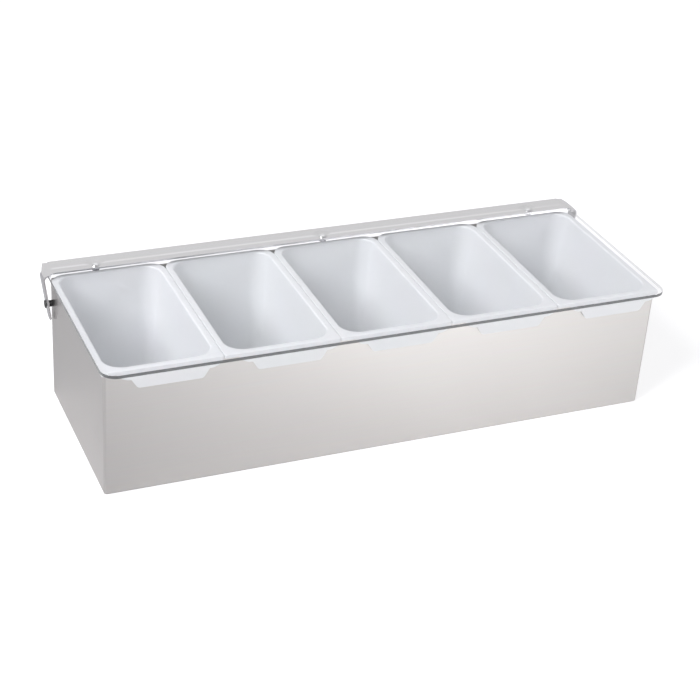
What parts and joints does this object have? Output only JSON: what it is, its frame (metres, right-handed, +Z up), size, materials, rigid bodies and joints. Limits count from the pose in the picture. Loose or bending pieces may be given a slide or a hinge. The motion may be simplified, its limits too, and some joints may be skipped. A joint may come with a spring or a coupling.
{
  "type": "bar garnish tray",
  "caption": "Condiment tray for a bar: a rectangular steel pan with white lift-out inserts side by side under a flat clear lid, which swings up on a riveted steel hinge bar.",
  "frame": {"origin": "centre of the pan's flat bottom", "axes": "+X along the tray's length to the right as seen from the front, -Y towards the front where the finger tabs are, +Z up"},
  "size_m": [0.3928, 0.1495, 0.0943],
  "materials": {
    "pan_steel": "fine satin stainless sheet",
    "bar_steel": "satin stainless strip",
    "rivet_steel": "smooth stainless rivet",
    "insert_plastic": "white moulded ABS with a soft gloss",
    "lid_plastic": "clear polished acrylic sheet",
    "black_plastic": "black nylon"
  },
  "bodies": {
    "tray": {"pan": "pan_steel", "insert_1": "insert_plastic", "insert_2": "insert_plastic", "insert_3": "insert_plastic", "insert_4": "insert_plastic", "insert_5": "insert_plastic", "pivot_stud_left": "rivet_steel", "pivot_stud_right": "rivet_steel", "pivot_sleeve_left": "black_plastic", "pivot_sleeve_right": "black_plastic", "pivot_cap_left": "black_plastic", "pivot_cap_right": "black_plastic"},
    "lid": {"lid_cover": "lid_plastic", "hinge_bar": "bar_steel", "lid_rivet_left": "rivet_steel", "lid_rivet_middle": "rivet_steel", "lid_rivet_right": "rivet_steel"}
  },
  "joints": [
    {"name": "lid_hinge", "type": "hinge", "parent": "tray", "child": "lid", "pos_m": [0, 0.0588, 0.0708], "axis": [-1, 0, 0], "range_deg": [0, 120]}
  ]
}
